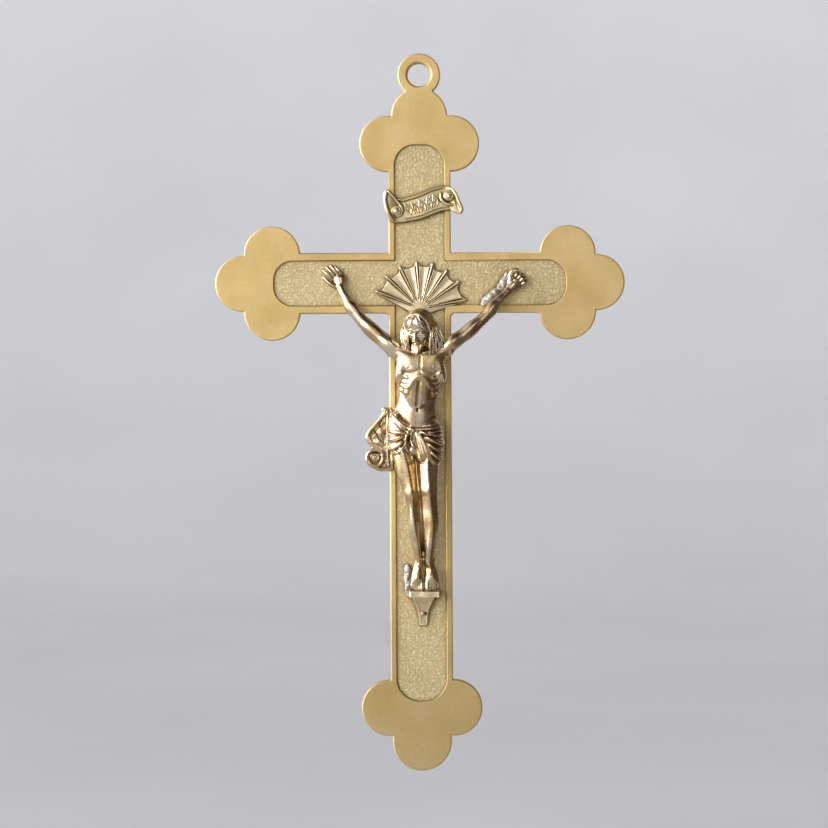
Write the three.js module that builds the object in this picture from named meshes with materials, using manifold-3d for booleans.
// A hanging crucifix in brass: a flat cross with trefoil ends, a sunk cross-shaped panel and an
// eye on top, which carries a figure, a fan of rays, a title scroll and a foot rest.
// Millimetres, +Z up. The front faces -Y and the back of the plate lies on y = 0. The origin is
// the centre of the eye's hole, in the plane of the back.
import * as THREE from "three";
import { mergeVertices } from "three/addons/utils/BufferGeometryUtils.js";
import Module from "manifold-3d";

const wasm = await Module();
wasm.setup();

// ---- Driving dimensions -------------------------------------------------------------------
// The plate. Lengths along the arms are measured from the crossing of the two bars.
const THICKNESS = 2.6;
const SINK = 0.6;                                // depth of the panel below the rim
const FLOOR = THICKNESS - SINK;                  // distance of the panel's floor from the back
const UPRIGHT = 17.3;                            // width of the upright bar
const CROSSBAR = 16.9;                           // height of the horizontal bar
const LOBE = 7.8;                                // radius of the trefoil's lobes
const FOOT_LOBE = 8.2;                           // radius of the lowest lobe
const EYE_RISE = 58.05;                          // centre of the eye above the crossing
const EYE_OUTER = 5.95;
const EYE_HOLE = 3.15;
const NECK = 7.8;                                // width of the neck under the eye
const INNER_FILLET = 1.4;                        // radius in the corners under the crossbar

// The trefoils: how far out the pair of side lobes and the end lobe lie, and the pair's offset.
const SIDE_TREFOIL = { pair: 41.25, end: 49.3, spread: 8.1, endRadius: LOBE };
const TOP_TREFOIL = { pair: 38.9, end: 46.55, spread: 8.9, endRadius: LOBE };
const FOOT_TREFOIL = { pair: 118.5, end: 127.8, spread: 9.0, endRadius: FOOT_LOBE };

// The panel sunk into the front.
const PANEL = { halfUpright: 7.0, halfCrossbar: 6.35, side: 40.8, top: 38.6, foot: 116.7, round: 5.6 };

// Pins and the clearance round them.
const SHANK = 0.55;
const BORE = 0.62;
const PIN_HEAD = 0.95;
const FIT_GAP = 0.3;                             // left between curved neighbours

const ROUND_SIDES = 48;

// ---- Solids ---------------------------------------------------------------------------------
// A closed geometry as a manifold solid.
function solid(geometry) {
  const bare = geometry.clone();
  bare.deleteAttribute("normal");
  bare.deleteAttribute("uv");
  const merged = mergeVertices(bare, 1e-5);
  return new wasm.Manifold(new wasm.Mesh({
    numProp: 3,
    vertProperties: new Float32Array(merged.attributes.position.array),
    triVerts: new Uint32Array(merged.index.array),
  }));
}

// A manifold solid back as a geometry.
function geometryOf(shape) {
  const mesh = shape.getMesh();
  const geometry = new THREE.BufferGeometry();
  geometry.setAttribute("position", new THREE.BufferAttribute(new Float32Array(mesh.vertProperties), 3));
  geometry.setIndex(new THREE.BufferAttribute(new Uint32Array(mesh.triVerts), 1));
  geometry.computeVertexNormals();
  return geometry;
}

// The sum of several solids.
function join(...solids) {
  return solids.reduce((whole, next) => whole.add(next));
}

// The y of a point that stands this high above the panel's floor.
function riseToY(rise) {
  return -(FLOOR + rise);
}

// A front-view outline (x across, z up) as a plate between two values of y, back above front.
function slab(outline, back, front, curveSegments = 12) {
  const geometry = new THREE.ExtrudeGeometry(outline, {
    depth: back - front,
    bevelEnabled: false,
    curveSegments,
  });
  geometry.rotateX(Math.PI / 2);
  geometry.translate(0, back, 0);
  return solid(geometry);
}

function block(x0, x1, z0, z1, back, front) {
  const geometry = new THREE.BoxGeometry(x1 - x0, back - front, z1 - z0);
  geometry.translate((x0 + x1) / 2, (back + front) / 2, (z0 + z1) / 2);
  return solid(geometry);
}

// A round plate or rod that runs along Y.
function disc(x, z, radius, back, front, sides = ROUND_SIDES) {
  const geometry = new THREE.CylinderGeometry(radius, radius, back - front, sides);
  geometry.translate(x, (back + front) / 2, z);
  return solid(geometry);
}

function ball(x, z, rise, wide, tall, deep, sides = 16) {
  const geometry = new THREE.SphereGeometry(1, sides, sides / 2);
  geometry.scale(wide, deep, tall);
  geometry.translate(x, riseToY(rise), z);
  return solid(geometry);
}

// A closed tube through sections [x, z, rise, half width, half depth]. Each ring is an ellipse
// square to the tube's run as seen from the front.
function limb(sections, sides = 16) {
  const positions = [];
  const index = [];
  sections.forEach(([x, z, rise, wide, deep], i) => {
    const before = sections[Math.max(i - 1, 0)];
    const after = sections[Math.min(i + 1, sections.length - 1)];
    const run = new THREE.Vector2(after[0] - before[0], after[1] - before[1]).normalize();
    for (let k = 0; k < sides; k++) {
      const angle = (2 * Math.PI * k) / sides;
      const across = wide * Math.cos(angle);
      positions.push(x - run.y * across, riseToY(rise) - deep * Math.sin(angle), z + run.x * across);
    }
  });
  const last = sections.length - 1;
  for (let i = 0; i < last; i++) {
    for (let k = 0; k < sides; k++) {
      const a = i * sides + k;
      const b = i * sides + ((k + 1) % sides);
      index.push(a, b, b + sides, a, b + sides, a + sides);
    }
  }
  for (const [ring, flip] of [[0, true], [last, false]]) {
    const [x, z, rise] = sections[ring];
    const centre = positions.length / 3;
    positions.push(x, riseToY(rise), z);
    for (let k = 0; k < sides; k++) {
      const a = ring * sides + k;
      const b = ring * sides + ((k + 1) % sides);
      index.push(centre, ...(flip ? [b, a] : [a, b]));
    }
  }
  const geometry = new THREE.BufferGeometry();
  geometry.setAttribute("position", new THREE.Float32BufferAttribute(positions, 3));
  geometry.setIndex(index);
  return solid(geometry);
}

// The same sections, made thicker all round.
function grow(sections, by) {
  return sections.map(([x, z, rise, wide, deep]) => [x, z, rise, wide + by, deep + by]);
}

// A closed outline through points, smoothed.
function smoothOutline(points) {
  const curve = new THREE.CatmullRomCurve3(
    points.map(([x, z]) => new THREE.Vector3(x, z, 0)), true, "centripetal");
  const steps = points.length * 3;
  return new THREE.Shape(curve.getPoints(steps).slice(0, steps).map((p) => new THREE.Vector2(p.x, p.y)));
}

// ---- The cross plate --------------------------------------------------------------------------
// Three lobes at the end of an arm. The arm points along (dx, dz).
function trefoil({ pair, end, spread, endRadius }, dx, dz) {
  const lobes = [disc(dx * end, dz * end, endRadius, 0, -THICKNESS)];
  for (const side of [-1, 1]) {
    lobes.push(disc(dx * pair + dz * spread * side, dz * pair + dx * spread * side, LOBE, 0, -THICKNESS));
  }
  return join(...lobes);
}

// How far a bar runs into its trefoil, so that nothing stays open between the three lobes.
function barEnd({ end, endRadius }) {
  return end - endRadius / 2;
}

// A rounded box outline for the panel's bars.
function roundBar(x0, x1, z0, z1, radius) {
  const shape = new THREE.Shape();
  shape.absarc(x1 - radius, z1 - radius, radius, 0, Math.PI / 2);
  shape.absarc(x0 + radius, z1 - radius, radius, Math.PI / 2, Math.PI);
  shape.absarc(x0 + radius, z0 + radius, radius, Math.PI, Math.PI * 1.5);
  shape.absarc(x1 - radius, z0 + radius, radius, Math.PI * 1.5, Math.PI * 2);
  return shape;
}

// The small web in the corner between the crossbar and the lower part of the upright.
function cornerWeb(side) {
  const x = side * UPRIGHT / 2;
  const z = -CROSSBAR / 2;
  const overlap = 0.5;
  const web = block(
    Math.min(x - side * overlap, x + side * INNER_FILLET),
    Math.max(x - side * overlap, x + side * INNER_FILLET),
    z - INNER_FILLET, z + overlap, 0, -THICKNESS);
  return web.subtract(disc(x + side * INNER_FILLET, z - INNER_FILLET, INNER_FILLET, 1, -THICKNESS - 1, 24));
}

function panelCut() {
  const { halfUpright, halfCrossbar, side, top, foot, round } = PANEL;
  const above = 1;
  const upright = roundBar(-halfUpright, halfUpright, -foot, top, round);
  const crossbar = roundBar(-side, side, -halfCrossbar, halfCrossbar, round);
  return join(
    slab(upright, -FLOOR, -THICKNESS - above),
    slab(crossbar, -FLOOR, -THICKNESS - above));
}

function crossPlate(bores) {
  const bars = join(
    block(-UPRIGHT / 2, UPRIGHT / 2, barEnd(FOOT_TREFOIL) * -1, barEnd(TOP_TREFOIL), 0, -THICKNESS),
    block(barEnd(SIDE_TREFOIL) * -1, barEnd(SIDE_TREFOIL), -CROSSBAR / 2, CROSSBAR / 2, 0, -THICKNESS),
    block(-NECK / 2, NECK / 2, TOP_TREFOIL.end, EYE_RISE, 0, -THICKNESS),
    cornerWeb(-1), cornerWeb(1));
  const ends = join(
    trefoil(SIDE_TREFOIL, 1, 0), trefoil(SIDE_TREFOIL, -1, 0),
    trefoil(TOP_TREFOIL, 0, 1), trefoil(FOOT_TREFOIL, 0, -1),
    disc(0, EYE_RISE, EYE_OUTER, 0, -THICKNESS));
  let plate = join(bars, ends).subtract(panelCut());
  plate = plate.subtract(disc(0, EYE_RISE, EYE_HOLE, 1, -THICKNESS - 1));
  for (const [x, z] of bores) {
    plate = plate.subtract(disc(x, z, BORE, 1, -THICKNESS - 1, 16));
  }
  return plate;
}

// ---- Pins -------------------------------------------------------------------------------------
// A pin from the back of the plate, flush with it, up to a domed head that starts at this rise.
function pin(x, z, rise, headRadius = PIN_HEAD) {
  const top = FLOOR + rise;
  const dome = headRadius * 0.6;
  const profile = [
    [0, 0], [SHANK, 0], [SHANK, top], [headRadius, top],
    [headRadius * 0.85, top + dome * 0.6], [0, top + dome],
  ].map(([radius, height]) => new THREE.Vector2(radius, height));
  const geometry = new THREE.LatheGeometry(profile, 16);
  geometry.rotateX(Math.PI);
  geometry.translate(x, 0, z);
  return solid(geometry);
}

// A headless pin that ends inside the piece it holds.
function blindPin(x, z, rise) {
  return disc(x, z, SHANK, 0, riseToY(rise), 16);
}

// ---- The figure -------------------------------------------------------------------------------
// Sections [x, z, rise, half width, half depth], from the top down.
const TORSO = [
  [0.0, -15.5, 7.9, 2.4, 2.2],
  [0.0, -17.2, 7.3, 3.0, 2.4],
  [-0.1, -18.9, 6.4, 6.0, 3.0],
  [-0.2, -20.6, 5.9, 7.6, 3.6],
  [0.0, -22.8, 5.7, 6.9, 4.0],
  [0.1, -25.2, 5.6, 6.5, 4.1],
  [-0.1, -28.2, 5.3, 6.1, 3.8],
  [-0.4, -31.0, 5.0, 5.6, 3.3],
  [-1.1, -33.5, 4.8, 5.5, 3.1],
  [-1.5, -36.0, 4.8, 6.1, 3.4],
  [-1.6, -38.6, 4.9, 6.9, 3.8],
  [-1.5, -42.0, 5.1, 7.6, 4.0],
  [-1.4, -45.5, 5.3, 7.6, 3.9],
  [-1.4, -49.0, 5.5, 7.0, 3.5],
];
const RIGHT_LEG = [
  [-5.0, -43.7, 5.4, 3.3, 3.3],
  [-4.8, -48.4, 5.8, 2.85, 2.9],
  [-4.3, -52.2, 6.2, 2.4, 2.5],
  [-3.3, -57.2, 6.5, 1.85, 2.1],
  [-2.3, -61.8, 6.0, 1.75, 1.9],
  [-2.05, -65.8, 5.8, 1.8, 1.9],
  [-1.6, -70.4, 5.4, 1.5, 1.6],
  [-0.8, -76.2, 4.9, 1.0, 1.1],
  [-0.7, -78.2, 4.8, 1.15, 1.2],
  [-1.0, -80.6, 4.8, 1.45, 1.2],
  [-1.15, -83.3, 5.0, 1.6, 1.0],
  [-1.3, -85.3, 5.0, 1.5, 0.7],
];
const LEFT_LEG = [
  [2.1, -43.7, 5.5, 3.6, 3.4],
  [2.0, -48.6, 5.9, 3.4, 3.2],
  [1.95, -52.8, 6.3, 3.1, 2.9],
  [2.0, -57.4, 6.7, 2.65, 2.6],
  [2.3, -62.4, 6.3, 2.45, 2.4],
  [2.45, -66.0, 6.1, 2.45, 2.4],
  [2.35, -70.6, 5.7, 2.0, 1.9],
  [2.1, -76.4, 5.0, 1.3, 1.4],
  [2.15, -78.2, 4.9, 1.35, 1.3],
  [2.7, -80.6, 4.9, 1.65, 1.3],
  [3.0, -83.3, 5.1, 1.75, 1.0],
  [3.1, -85.3, 5.1, 1.6, 0.7],
];
// The arms run from inside the chest to the wrist and on into the palm.
const RIGHT_ARM = [
  [-3.5, -20.6, 5.8, 2.4, 2.5],
  [-8.6, -17.4, 5.7, 2.3, 2.3],
  [-13.3, -13.2, 5.0, 2.1, 2.0],
  [-17.1, -8.7, 4.2, 1.85, 1.7],
  [-19.9, -4.8, 3.3, 1.45, 1.3],
  [-21.6, -1.4, 2.6, 1.15, 0.95],
  [-22.4, 0.2, 2.2, 1.7, 0.9],
  [-23.3, 2.0, 1.8, 2.0, 0.9],
  [-23.9, 3.2, 1.6, 1.6, 0.7],
];
const LEFT_ARM = [
  [3.5, -20.6, 5.8, 2.4, 2.5],
  [8.6, -17.2, 5.7, 2.15, 2.3],
  [13.2, -13.5, 5.0, 1.95, 2.0],
  [17.8, -9.5, 4.2, 1.85, 1.7],
  [21.0, -5.5, 3.3, 1.5, 1.3],
  [24.4, -1.9, 2.6, 1.2, 0.95],
  [25.6, -0.7, 2.2, 1.8, 0.9],
  [27.2, 1.1, 1.8, 2.1, 0.9],
  [28.1, 2.2, 1.6, 1.7, 0.7],
];
const FINGERS = 4;
const FINGER = { reach: 2.1, radius: 0.5 };
const SHOULDER = { x: 8.2, z: -17.6, run: [0.78, 0.63] };   // the left shoulder's joint plane
const HEAD = { x: -0.3, z: -11.4, rise: 8.6, wide: 4.6, tall: 5.6, deep: 4.2 };
const BEARD = [
  [-1.7, -12.0, 10.2, 1.4, 1.2],
  [-1.5, -13.5, 10.6, 2.6, 1.9],
  [-0.9, -16.8, 10.6, 2.3, 1.7],
  [-0.1, -19.6, 9.6, 1.1, 1.1],
];
const RIGHT_HAIR = [
  [-2.4, -7.6, 8.2, 0.8, 1.6],
  [-3.4, -9.2, 8.0, 1.7, 2.6],
  [-4.3, -13.5, 7.9, 1.7, 2.4],
  [-4.4, -17.5, 7.6, 1.6, 1.8],
  [-4.3, -20.3, 7.3, 1.0, 1.0],
];
const LEFT_HAIR = [
  [1.8, -7.6, 8.2, 0.8, 1.6],
  [3.0, -9.6, 8.0, 1.8, 2.6],
  [4.6, -13.6, 7.7, 1.9, 2.4],
  [5.6, -17.2, 7.4, 1.9, 1.9],
  [6.0, -20.0, 7.4, 1.2, 1.0],
];

// Everything past a shoulder's joint plane, moved outwards by gap.
function beyondShoulder(side, gap) {
  const size = 60;
  const [across, up] = SHOULDER.run;
  const geometry = new THREE.BoxGeometry(size, size, size);
  geometry.translate(size / 2 + gap, 0, 0);
  geometry.rotateY(-Math.atan2(up, side * across));
  geometry.translate(side * SHOULDER.x, 0, SHOULDER.z);
  return solid(geometry);
}

// Four fingers that fan out from the end of the palm.
function fingers(arm) {
  const [x, z, rise, wide] = arm[arm.length - 1];
  const [fromX, fromZ] = arm[arm.length - 2];
  const run = new THREE.Vector2(x - fromX, z - fromZ).normalize();
  const all = [];
  for (let i = 0; i < FINGERS; i++) {
    const across = (i / (FINGERS - 1) - 0.5) * 2;
    const rootX = x - run.y * across * (wide - FINGER.radius) - run.x * FINGER.radius;
    const rootZ = z + run.x * across * (wide - FINGER.radius) - run.y * FINGER.radius;
    const turn = across * 0.25;
    const out = run.clone().rotateAround(new THREE.Vector2(0, 0), turn);
    const knuckle = out.clone().multiplyScalar(FINGER.reach * 0.6);
    const tip = out.clone().multiplyScalar(FINGER.reach);
    const { radius } = FINGER;
    all.push(limb([
      [rootX, rootZ, rise, radius, radius],
      [rootX + knuckle.x, rootZ + knuckle.y, rise + 0.3, radius * 0.95, radius],
      [rootX + tip.x, rootZ + tip.y, rise, radius * 0.6, radius * 0.6],
    ], 8));
  }
  return join(...all);
}

function armPiece(arm, side, nail) {
  const whole = join(limb(arm, 14), fingers(arm));
  const cut = whole.intersect(beyondShoulder(side, FIT_GAP));
  return cut.subtract(disc(nail[0], nail[1], BORE, 1, riseToY(9), 16));
}

function corpusBody(footNails) {
  let body = join(
    limb(TORSO, 24), limb(RIGHT_LEG, 14), limb(LEFT_LEG, 14),
    ball(HEAD.x, HEAD.z, HEAD.rise, HEAD.wide, HEAD.tall, HEAD.deep, 20),
    limb(BEARD, 12), limb(RIGHT_HAIR, 12), limb(LEFT_HAIR, 12),
    limb(RIGHT_ARM.slice(0, 3), 14), limb(LEFT_ARM.slice(0, 3), 14));
  for (const side of [-1, 1]) {
    body = body.subtract(beyondShoulder(side, 0));
  }
  for (const [x, z] of footNails) {
    body = body.subtract(disc(x, z, BORE, 1, riseToY(9), 16));
  }
  return body;
}

// ---- The loose end of the loincloth ------------------------------------------------------------
const TAIL_BACK = SINK;                          // it lies on the plate's rim
const TAIL_FRONT = 2.3;
const TAIL_OUTLINE = [
  [-8.0, -34.6], [-10.2, -34.4], [-11.3, -36.2], [-12.7, -38.9], [-14.6, -41.2], [-15.2, -43.2],
  [-14.2, -45.2], [-15.3, -47.2], [-15.4, -49.6], [-14.0, -51.4], [-11.4, -52.6], [-7.9, -52.4],
  [-7.7, -46.0], [-7.7, -38.0],
];
const TAIL_CURL = { x: -12.7, z: -48.7, radius: 1.1, floor: 1.1 };

// A flat piece of cloth whose lower corner curls round a shallow hollow.
function drapeTail() {
  const sheet = slab(smoothOutline(TAIL_OUTLINE), riseToY(TAIL_BACK), riseToY(TAIL_FRONT));
  const { x, z, radius, floor } = TAIL_CURL;
  return sheet.subtract(disc(x, z, radius, riseToY(floor), riseToY(9), 16));
}

// ---- The fan of rays -----------------------------------------------------------------------------
const GLORY = { x: 0.1, z: -7.2, web: 11.6, tip: 13.6, sheet: 0.7, ridge: 1.15, count: 8 };
const GLORY_SPAN = [158, 11];                    // directions of the first and last ray, degrees
const GLORY_HUB = 3.0;

function gloryRays() {
  const { x, z, web, tip, sheet, ridge, count } = GLORY;
  const [first, last] = GLORY_SPAN.map((degrees) => THREE.MathUtils.degToRad(degrees));
  const step = (last - first) / (count - 1);
  const edge = [];
  for (let i = 0; i <= 2 * (count - 1); i++) {
    const angle = first + (step * i) / 2;
    const reach = i % 2 === 0 ? tip : web;
    edge.push(new THREE.Vector2(x + reach * Math.cos(angle), z + reach * Math.sin(angle)));
  }
  edge.push(new THREE.Vector2(x + 1.5, z), new THREE.Vector2(x - 1.5, z));
  const outline = new THREE.Shape(edge.reverse());
  let fan = slab(outline, riseToY(0), riseToY(sheet));
  for (let i = 0; i < count; i++) {
    const angle = first + step * i;
    const at = (reach) => [x + reach * Math.cos(angle), z + reach * Math.sin(angle)];
    fan = fan.add(limb([
      [...at(GLORY_HUB), sheet - 0.2, 0.25, ridge - sheet],
      [...at(tip - 1.5), sheet - 0.2, 0.6, ridge - sheet],
      [...at(tip - 0.3), sheet - 0.2, 0.3, 0.3],
    ], 8));
  }
  return fan;
}

// ---- The title scroll ------------------------------------------------------------------------------
const SCROLL_OUTLINE = [
  [-9.3, 25.9], [-10.1, 24.3], [-9.7, 21.2], [-8.6, 18.0], [-6.9, 16.8], [-4.0, 17.0], [-0.1, 17.6],
  [4.1, 19.4], [8.3, 20.2], [10.5, 19.2], [12.0, 19.4], [12.1, 20.8], [10.9, 23.6], [9.9, 25.8],
  [8.3, 26.8], [6.7, 27.0], [4.1, 26.4], [0.0, 24.7], [-2.8, 23.8], [-6.2, 23.4], [-8.0, 25.0],
];
const SCROLL_BACK = SINK;                        // it lies on the plate's rim
const SCROLL_FRONT = 1.7;
const VOLUTES = [[-6.4, 20.0, 1.5], [8.2, 23.9, 1.5]];
const VOLUTE_RISE = 0.45;
const TITLE_PINS = [[-4.0, 20.4], [5.2, 23.0]];
const PIN_DEPTH = 0.6;                           // how far the blind pins reach into the scroll

function titleScroll() {
  let scroll = slab(smoothOutline(SCROLL_OUTLINE), riseToY(SCROLL_BACK), riseToY(SCROLL_FRONT));
  for (const [x, z, radius] of VOLUTES) {
    scroll = scroll.add(disc(x, z, radius, riseToY(SCROLL_BACK), riseToY(SCROLL_FRONT + VOLUTE_RISE), 20));
  }
  for (const [x, z] of TITLE_PINS) {
    scroll = scroll.subtract(disc(x, z, BORE, 1, riseToY(SCROLL_BACK + PIN_DEPTH), 16));
  }
  return scroll;
}

// ---- The foot rest ----------------------------------------------------------------------------------
const LEDGE = { x0: -3.3, x1: 5.1, top: -85.6, height: 1.75, reach: 6.0 };
const BRACKET = {
  top: LEDGE.top - LEDGE.height, foot: -95.6, x: 0.6,
  topHalf: 3.45, footHalf: 1.7, topRise: 4.6, footRise: 0.7,
};
const STUD = [0.4, -92.1];

function footLedge() {
  return block(LEDGE.x0, LEDGE.x1, LEDGE.top - LEDGE.height, LEDGE.top, riseToY(0), riseToY(LEDGE.reach));
}

// A corbel with hollow sides, as deep as the ledge at its top and thin at its foot.
function footBracket() {
  const { top, foot, x, topHalf, footHalf, topRise, footRise } = BRACKET;
  const waist = foot + (top - foot) * 0.35;
  const front = new THREE.Shape();
  front.moveTo(x - topHalf, top);
  front.quadraticCurveTo(x - footHalf, top - 1.6, x - footHalf, waist);
  front.lineTo(x - footHalf, foot);
  front.lineTo(x + footHalf, foot);
  front.lineTo(x + footHalf, waist);
  front.quadraticCurveTo(x + footHalf, top - 1.6, x + topHalf, top);
  const side = new THREE.Shape();
  side.moveTo(0, top);
  side.lineTo(0, foot);
  side.lineTo(footRise, foot);
  side.quadraticCurveTo(footRise + 0.6, waist, topRise, top);
  const wide = { depth: 2 * topHalf, bevelEnabled: false, curveSegments: 6 };
  const wedge = new THREE.ExtrudeGeometry(side, wide);
  wedge.rotateX(Math.PI / 2);
  wedge.rotateZ(-Math.PI / 2);
  wedge.translate(x + topHalf, riseToY(0), 0);
  const body = slab(front, riseToY(0), riseToY(topRise)).intersect(solid(wedge));
  return body.subtract(disc(STUD[0], STUD[1], BORE, 1, riseToY(9), 16));
}

// ---- Solder -------------------------------------------------------------------------------------------
// A low puddle on the panel's floor, kept clear of what it was run against.
function puddle(blobs, neighbour) {
  const size = 60;
  const pool = join(...blobs.map(([x, z, wide, tall, rise]) => ball(x, z, 0, wide, tall, rise, 14)));
  const [x, z] = blobs[0];
  const kept = pool.intersect(block(x - size, x + size, z - size, z + size, riseToY(0), riseToY(size)));
  return kept.subtract(neighbour);
}

// ---- Assembly ---------------------------------------------------------------------------------------
function brass(name, color, roughness) {
  return new THREE.MeshStandardMaterial({ name, color, roughness, metalness: 1 });
}
const PLATE_BRASS = brass("plate_brass", 0xd2b678, 0.42);
const FIGURE_BRASS = brass("figure_brass", 0xb98d4e, 0.26);
const RAY_BRASS = brass("ray_brass", 0xc2a063, 0.32);
const PIN_BRASS = brass("pin_brass", 0xa88450, 0.38);
const SOLDER = brass("solder", 0xb9b2a2, 0.6);

const RIGHT_PALM = [-22.5, 1.0];
const LEFT_PALM = [26.6, 0.0];
const RIGHT_FOOT = [-1.0, -80.6];
const LEFT_FOOT = [2.6, -80.7];
const PALM_FRONT = 3.2;                          // rise of the palms under the nails' heads
const INSTEP_FRONT = 6.3;                        // rise of the insteps there
const STUD_SEAT = 2.8;                           // rise of the stud's head above the bracket's slope

const group = new THREE.Group();
const crossing = new THREE.Group();
crossing.position.z = -EYE_RISE;
group.add(crossing);

function part(name, shape, material) {
  const mesh = new THREE.Mesh(geometryOf(shape), material);
  mesh.name = name;
  crossing.add(mesh);
}

const leftArmRoom = join(
  limb(grow(LEFT_ARM, FIT_GAP), 14), disc(...LEFT_PALM, BORE + 0.1, 1, riseToY(9), 16));
const footRoom = join(
  limb(grow(RIGHT_LEG.slice(-5), FIT_GAP), 14), limb(grow(LEFT_LEG.slice(-5), FIT_GAP), 14));
const handPuddle = [[23.6, -0.2, 1.5, 2.2, 1.2], [24.2, 1.4, 1.1, 1.2, 0.8]];
const forearmPuddle = [[19.8, -4.2, 2.3, 1.1, 1.0], [18.2, -5.0, 1.5, 0.8, 0.7]];
const footPuddle = [[-4.1, -81.8, 1.3, 3.2, 1.2], [-4.4, -85.2, 1.2, 2.8, 1.0]];
const pinned = [RIGHT_PALM, LEFT_PALM, RIGHT_FOOT, LEFT_FOOT, STUD, ...TITLE_PINS];

part("cross_plate", crossPlate(pinned), PLATE_BRASS);
part("glory_rays", gloryRays(), RAY_BRASS);
part("title_scroll", titleScroll(), PLATE_BRASS);
part("corpus_body", corpusBody([RIGHT_FOOT, LEFT_FOOT]), FIGURE_BRASS);
part("corpus_right_arm", armPiece(RIGHT_ARM, -1, RIGHT_PALM), FIGURE_BRASS);
part("corpus_left_arm", armPiece(LEFT_ARM, 1, LEFT_PALM), FIGURE_BRASS);
part("drape_tail", drapeTail(), FIGURE_BRASS);
part("foot_ledge", footLedge(), RAY_BRASS);
part("foot_bracket", footBracket(), RAY_BRASS);
part("bracket_stud", pin(...STUD, STUD_SEAT), PIN_BRASS);
part("right_hand_nail", pin(...RIGHT_PALM, PALM_FRONT), PIN_BRASS);
part("left_hand_nail", pin(...LEFT_PALM, PALM_FRONT), PIN_BRASS);
part("right_foot_nail", pin(...RIGHT_FOOT, INSTEP_FRONT), PIN_BRASS);
part("left_foot_nail", pin(...LEFT_FOOT, INSTEP_FRONT), PIN_BRASS);
part("title_pin_left", blindPin(...TITLE_PINS[0], SCROLL_BACK + PIN_DEPTH), PIN_BRASS);
part("title_pin_right", blindPin(...TITLE_PINS[1], SCROLL_BACK + PIN_DEPTH), PIN_BRASS);
part("solder_left_hand", puddle(handPuddle, leftArmRoom), SOLDER);
part("solder_left_forearm", puddle(forearmPuddle, leftArmRoom), SOLDER);
part("solder_feet", puddle(footPuddle, footRoom), SOLDER);

export default group;
